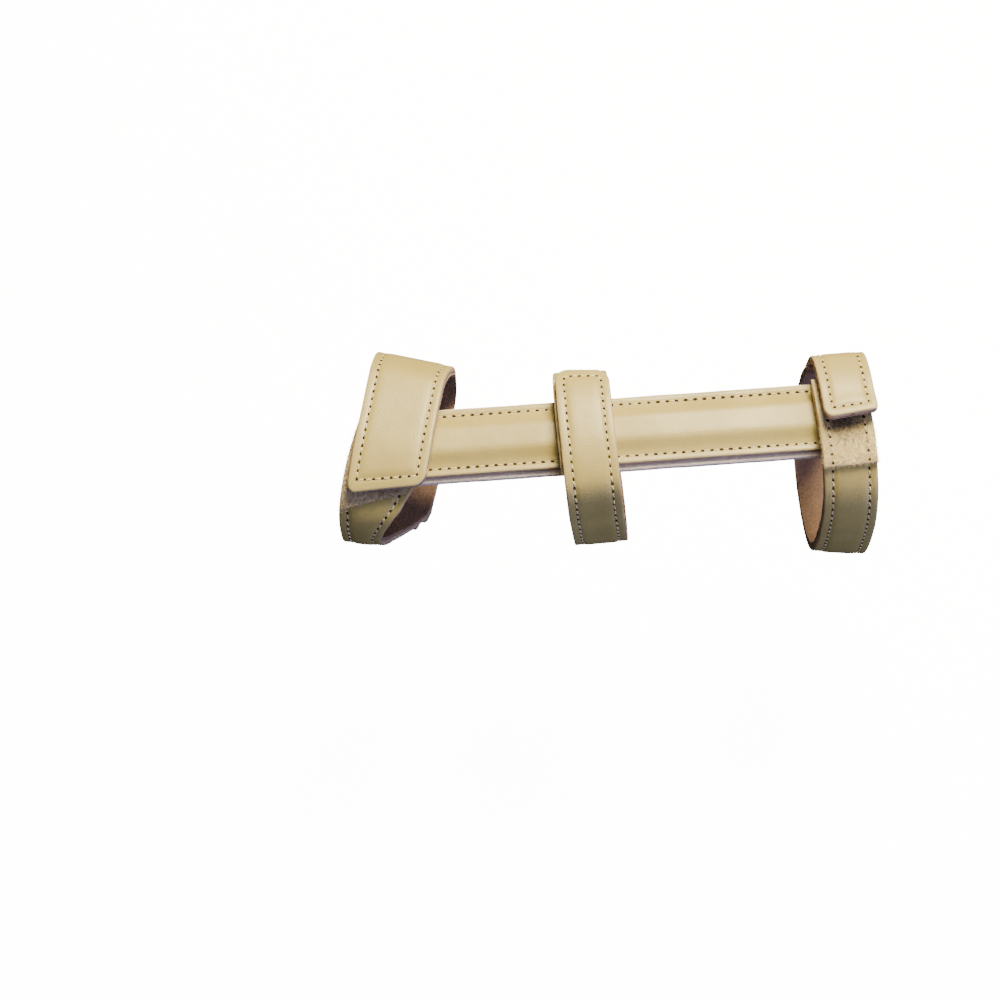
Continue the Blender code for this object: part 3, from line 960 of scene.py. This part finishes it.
def stitch_tree():
    """Threads and holes at the points of a mesh that carries the directions along and out and a hole mark."""
    sizes = {"Thread Length": "Float", "Thread Width": "Float", "Hole Size": "Float", "Slant": "Float"}
    tree, nodes, given = geometry_tree(
        "stitches", {**sizes, "Seed": "Int", "Thread": "Material", "Hole": "Material"}
    )
    along, out = (
        nodes.add("GeometryNodeInputNamedAttribute", {"data_type": "FLOAT_VECTOR"}, {"Name": name})
        for name in ("along", "out")
    )
    is_hole = nodes.add("GeometryNodeInputNamedAttribute", {"data_type": "BOOLEAN"}, {"Name": "hole"})
    facing = nodes.add("FunctionNodeAlignRotationToVector", {"axis": "Z"}, {"Vector": out})
    facing = nodes.add(
        "FunctionNodeAlignRotationToVector",
        {"axis": "X", "pivot_axis": "Z"},
        {"Rotation": facing, "Vector": along},
    )
    jitter = nodes.add(
        "FunctionNodeRandomValue", {"data_type": "FLOAT"}, {2: -0.1, 3: 0.1, "Seed": given["Seed"]}, out=1
    )
    spin = nodes.add(
        "FunctionNodeAxisAngleToRotation", {}, {"Axis": (0, 0, 1), "Angle": jitter + given["Slant"]}
    )
    facing = nodes.add("FunctionNodeRotateRotation", {"rotation_space": "LOCAL"}, {0: facing, 1: spin})
    size = nodes.add(
        "FunctionNodeRandomValue",
        {"data_type": "FLOAT"},
        {2: 0.88, 3: 1.12, "Seed": given["Seed"] + 7},
        out=1,
    )
    parts = []
    not_hole = nodes.add("FunctionNodeBooleanMath", {"operation": "NOT"}, {0: is_hole})
    shapes = (
        (not_hole, given["Thread Length"], given["Thread Width"], 0.75, given["Thread"], 5),
        # the holes are dark flat discs, painted shade for the holes' depth
        (is_hole, given["Hole Size"] * 1.1, given["Hole Size"], 0.22, given["Hole"], 4),
    )
    for wanted, length, width, flat, material, rings in shapes:
        ball = nodes.add("GeometryNodeMeshUVSphere", {}, {"Segments": 8, "Rings": rings, "Radius": 0.5})
        scale = nodes.add("ShaderNodeCombineXYZ", {}, {0: length * size, 1: width * size, 2: width * flat})
        made = nodes.add(
            "GeometryNodeInstanceOnPoints",
            {},
            {
                "Points": given["Geometry"],
                "Selection": wanted,
                "Instance": ball,
                "Rotation": facing,
                "Scale": scale,
            },
        )
        made = nodes.add("GeometryNodeRealizeInstances", {}, {"Geometry": made})
        made = nodes.add("GeometryNodeSetShadeSmooth", {}, {"Geometry": made})
        parts.append(nodes.add("GeometryNodeSetMaterial", {}, {"Geometry": made, "Material": material}))
    join = tree.nodes.new("GeometryNodeJoinGeometry")
    for part in parts:
        tree.links.new(part.socket, join.inputs[0])
    nodes.add("NodeGroupOutput", {}, {0: Wire(nodes, join.outputs[0])})
    return tree


def fuzz_tree():
    """Short curved fibres scattered over the outer side of a mesh."""
    sizes = {"Density": "Float", "Length": "Float", "Thickness": "Float"}
    tree, nodes, given = geometry_tree("fuzz", {**sizes, "Seed": "Int", "Fibre": "Material"})
    outer, bare = (
        nodes.add("GeometryNodeInputNamedAttribute", {"data_type": "FLOAT"}, {"Name": name})
        for name in ("outer", "bare")
    )
    thick = given["Density"] * outer * bare
    spread = tree.nodes.new("GeometryNodeDistributePointsOnFaces")
    for key, value in (("Mesh", given["Geometry"]), ("Density", thick), ("Seed", given["Seed"])):
        tree.links.new(value.socket, spread.inputs[key])
    bend = nodes.add(
        "GeometryNodeCurveQuadraticBezier",
        {},
        {"Resolution": 3, "Start": (0, 0, -0.15), "Middle": (0.1, 0, 0.75), "End": (0.75, 0, 0.85)},
    )
    share = given["Thickness"] / given["Length"]
    ring = nodes.add("GeometryNodeCurvePrimitiveCircle", {}, {"Resolution": 3, "Radius": share})
    parts = {"Curve": bend, "Profile Curve": ring, "Fill Caps": True}
    fibre = nodes.add("GeometryNodeCurveToMesh", {}, parts)
    spin = nodes.add(
        "FunctionNodeRandomValue",
        {"data_type": "FLOAT_VECTOR"},
        {0: (-0.5, -0.5, 0.0), 1: (0.5, 0.5, 2 * math.pi), "Seed": given["Seed"]},
    )
    spin = nodes.add("FunctionNodeEulerToRotation", {}, {0: spin})
    facing = nodes.add(
        "FunctionNodeRotateRotation",
        {"rotation_space": "LOCAL"},
        {0: Wire(nodes, spread.outputs["Rotation"]), 1: spin},
    )
    size = nodes.add(
        "FunctionNodeRandomValue", {"data_type": "FLOAT"}, {2: 0.55, 3: 1.3, "Seed": given["Seed"] + 5}, out=1
    )
    made = nodes.add(
        "GeometryNodeInstanceOnPoints",
        {},
        {
            "Points": Wire(nodes, spread.outputs["Points"]),
            "Instance": fibre,
            "Rotation": facing,
            "Scale": size * given["Length"],
        },
    )
    made = nodes.add("GeometryNodeRealizeInstances", {}, {"Geometry": made})
    made = nodes.add("GeometryNodeSetShadeSmooth", {}, {"Geometry": made})
    made = nodes.add("GeometryNodeSetMaterial", {}, {"Geometry": made, "Material": given["Fibre"]})
    nodes.add("NodeGroupOutput", {}, {0: made})
    return tree


def grown(name, mesh, tree, **values):
    """The plain mesh that a geometry tree makes from this one."""
    holder = bpy.data.objects.new(name + "_source", mesh)
    bpy.context.scene.collection.objects.link(holder)
    modifier = holder.modifiers.new("grow", "NODES")
    modifier.node_group = tree
    for item in tree.interface.items_tree:
        key = item.name.replace(" ", "_").lower()
        if item.in_out == "INPUT" and key in values:
            modifier[item.identifier] = values[key]
    graph = bpy.context.evaluated_depsgraph_get()
    made = bpy.data.meshes.new_from_object(holder.evaluated_get(graph))
    bpy.data.objects.remove(holder)
    made.name = name
    piece = bpy.data.objects.new(name, made)
    bpy.context.scene.collection.objects.link(piece)
    return piece


STITCHES = stitch_tree()
FUZZ = fuzz_tree()


def stitches(
    name, lines, seed, spacing=STRAP_STITCH, slant=STRAP_SLANT, hole_size=STRAP_HOLE, share=STRAP_THREAD
):
    """Stitches along these lines of (point, out) pairs."""
    places = [(*place, k % 2 == 0) for line in lines for k, place in enumerate(evenly(line, spacing))]
    mesh = bpy.data.meshes.new(name + "_points")
    mesh.from_pydata([place[0] for place in places], [], [])
    for key, column in (("along", 1), ("out", 2)):
        values = mesh.attributes.new(key, "FLOAT_VECTOR", "POINT")
        values.data.foreach_set("vector", [number for place in places for number in place[column]])
    mesh.attributes.new("hole", "BOOLEAN", "POINT").data.foreach_set("value", [place[3] for place in places])
    return grown(
        name,
        mesh,
        STITCHES,
        thread_length=spacing * share,
        thread_width=THREAD_WIDTH,
        hole_size=hole_size,
        slant=slant,
        seed=seed,
        thread=thread,
        hole=hole,
    )


LEATHER_SEAM = LEATHER_TOP - PRESS_DEPTH + THREAD_LIFT
POCKET_SEAM = LEATHER_TOP + SEWN + POCKET_WALL - PRESS_DEPTH + THREAD_LIFT


def strap_seam(strap, patch_end, cut=0.0):
    """The seam round a strap's tab, from the end of the hook patch at its start."""
    degree = across_line(strap, patch_end)[2]
    first = patch_end + strap.turn * 1.6 * MM / degree
    skew = math.tan(math.radians(cut)) / degree
    return seam_round(whole(strap), first, STITCH_MARGIN, LEATHER_SEAM, skew=skew)


def patch_seam(run):
    """Seams along both edges of a hook patch."""
    degree = across_line(run.strap, run.end)[2]
    turn = run.strap.turn
    longer = run._replace(end=run.end + turn * 2.4 * MM / degree)
    first = run.start + turn * 2.0 * MM / degree
    return seam_round(longer, first, STITCH_MARGIN, PATCH_TOP, closed_end=False)


cover_stitches = stitches(
    "cover_stitches", cover_seam(), 3, COVER_STITCH, COVER_SLANT, COVER_HOLE, COVER_THREAD
)
cuff_stitches = stitches("cuff_stitches", strap_seam(HAND, HAND_PATCH_END, HAND_PATCH_CUT), 11)
wrist_stitches = stitches("wrist_stitches", strap_seam(WRIST, WRIST_PATCH_END), 17)
forearm_stitches = stitches("forearm_stitches", strap_seam(FOREARM, FOREARM_PATCH_END), 23)
forearm_hook_stitches = stitches("forearm_hook_stitches", patch_seam(FOREARM_PATCH), 29)
pocket_seam = seam_round(POCKET, POCKET_MOUTH + 1.5, POCKET_STITCH_MARGIN, POCKET_SEAM)
pocket_stitches = stitches("pocket_stitches", pocket_seam, 31, slant=POCKET_SLANT)

FIBRE_RADIUS = 0.035 * MM
# the cuff's fibres take the hook fabric with painted shade
cuff_fuzz = grown(
    "cuff_fuzz",
    cuff_hooks.data.copy(),
    FUZZ,
    density=3.0e6,
    length=0.9 * MM,
    thickness=FIBRE_RADIUS,
    seed=5,
    fibre=hooks_painted_shade,
)
forearm_fuzz = grown(
    "forearm_fuzz",
    forearm_hooks.data.copy(),
    FUZZ,
    density=8.0e6,
    length=0.75 * MM,
    thickness=FIBRE_RADIUS,
    seed=6,
    fibre=hooks,
)

# What each piece stands for

Role = namedtuple("Role", "piece node slot")
ROLES = (
    Role(cover, "stay_cover", "tan_leather"),
    Role(stay_felt, "stay_lining", "white_felt"),
    Role(cuff_leather, "hand_cuff", "tan_leather"),
    Role(cuff_suede, "hand_cuff_lining", "suede_lining"),
    Role(cuff_hooks, "hand_cuff_patch", "hook_fabric"),
    Role(pocket_leather, "utensil_pocket", "tan_leather"),
    Role(wrist_leather, "wrist_strap", "tan_leather"),
    Role(wrist_suede, "wrist_strap_lining", "suede_lining"),
    Role(wrist_hooks, "wrist_strap_patch", "hook_fabric"),
    Role(forearm_leather, "forearm_strap", "tan_leather"),
    Role(forearm_suede, "forearm_strap_lining", "suede_lining"),
    Role(forearm_hooks, "forearm_strap_patch", "hook_fabric"),
    Role(forearm_tab_hooks, "forearm_tab_hook", "hook_fabric"),
    Role(cover_stitches, None, None),
    Role(cuff_stitches, None, None),
    Role(wrist_stitches, None, None),
    Role(forearm_stitches, None, None),
    Role(forearm_hook_stitches, None, None),
    Role(pocket_stitches, None, None),
    Role(cuff_fuzz, None, "hook_fabric"),
    Role(forearm_fuzz, None, "hook_fabric"),
)
for role in ROLES:
    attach(role.piece, "root")
    if role.node:
        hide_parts(role.node)

# Floor, light and camera

FLOOR_Z = -0.12
FLOOR_HALF = 6.0


def paint_floor(nodes):
    return {"Base Color": nodes.blend(nodes.noise(0.4, 1.0), (0.90, 0.90, 0.90), (0.92, 0.92, 0.92))}


floor_mesh = bpy.data.meshes.new("floor")
floor_mesh.from_pydata(
    [(x * FLOOR_HALF, y * FLOOR_HALF, FLOOR_Z) for x, y in ((-1, -1), (1, -1), (1, 1), (-1, 1))],
    [],
    [(0, 1, 2, 3)],
)
floor_paint = material_of(
    "floor", paint_floor, Roughness=0.9, Emission_Color=(1, 1, 1, 1), Emission_Strength=14.0
)
floor = link("floor", floor_mesh, floor_paint)
floor.visible_diffuse = False
floor.visible_glossy = False


def area_light(name, place, size, power, colour=(1, 1, 1)):
    """A soft square light that points at the splint."""
    data = bpy.data.lights.new(name, "AREA")
    data.size = size
    data.energy = power
    data.color = colour
    light = bpy.data.objects.new(name, data)
    light.location = place
    light.rotation_euler = (Vector((0.01, 0, 0)) - Vector(place)).to_track_quat("-Z", "Y").to_euler()
    bpy.context.scene.collection.objects.link(light)
    return light


area_light("key", (0.26, 0.50, 0.88), 0.42, 30.5, (1.0, 0.88, 0.57))
area_light("fill", (0.5, -0.65, 0.22), 0.8, 5.0, (0.45, 0.51, 1.0))
area_light("top", (0.2, 0.0, 1.0), 0.5, 0.8)

world = bpy.data.worlds.new("studio")
world.use_nodes = True
sky = Nodes(world.node_tree)
direction = sky.add("ShaderNodeTexCoord", out="Generated")
height = sky.add("ShaderNodeSeparateXYZ", {}, {0: direction}, out=2)
strength = sky.ramp(height, -0.35, 0.8, 0.03, 0.12)
background = world.node_tree.nodes["Background"]
background.inputs["Color"].default_value = (1.0, 1.0, 1.0, 1.0)
world.node_tree.links.new(strength.socket, background.inputs["Strength"])
bpy.context.scene.world = world

LENS_MM = 80.64
SENSOR_MM = 36.0
CAMERA_RIGHT = (0.997564, -0.063221, -0.029480)
CAMERA_UP = (0.069756, 0.904102, 0.421590)
CAMERA_BACK = (0.0, -0.42262, 0.90631)
CAMERA_PLACE = (-0.03195, -0.35781, 0.74016)
lens = bpy.data.cameras.new("camera")
lens.lens = LENS_MM
lens.sensor_width = SENSOR_MM
camera = bpy.data.objects.new("camera", lens)
turn = Matrix((CAMERA_RIGHT, CAMERA_UP, CAMERA_BACK)).transposed().to_4x4()
camera.matrix_world = Matrix.Translation(CAMERA_PLACE) @ turn
bpy.context.scene.collection.objects.link(camera)
bpy.context.scene.camera = camera
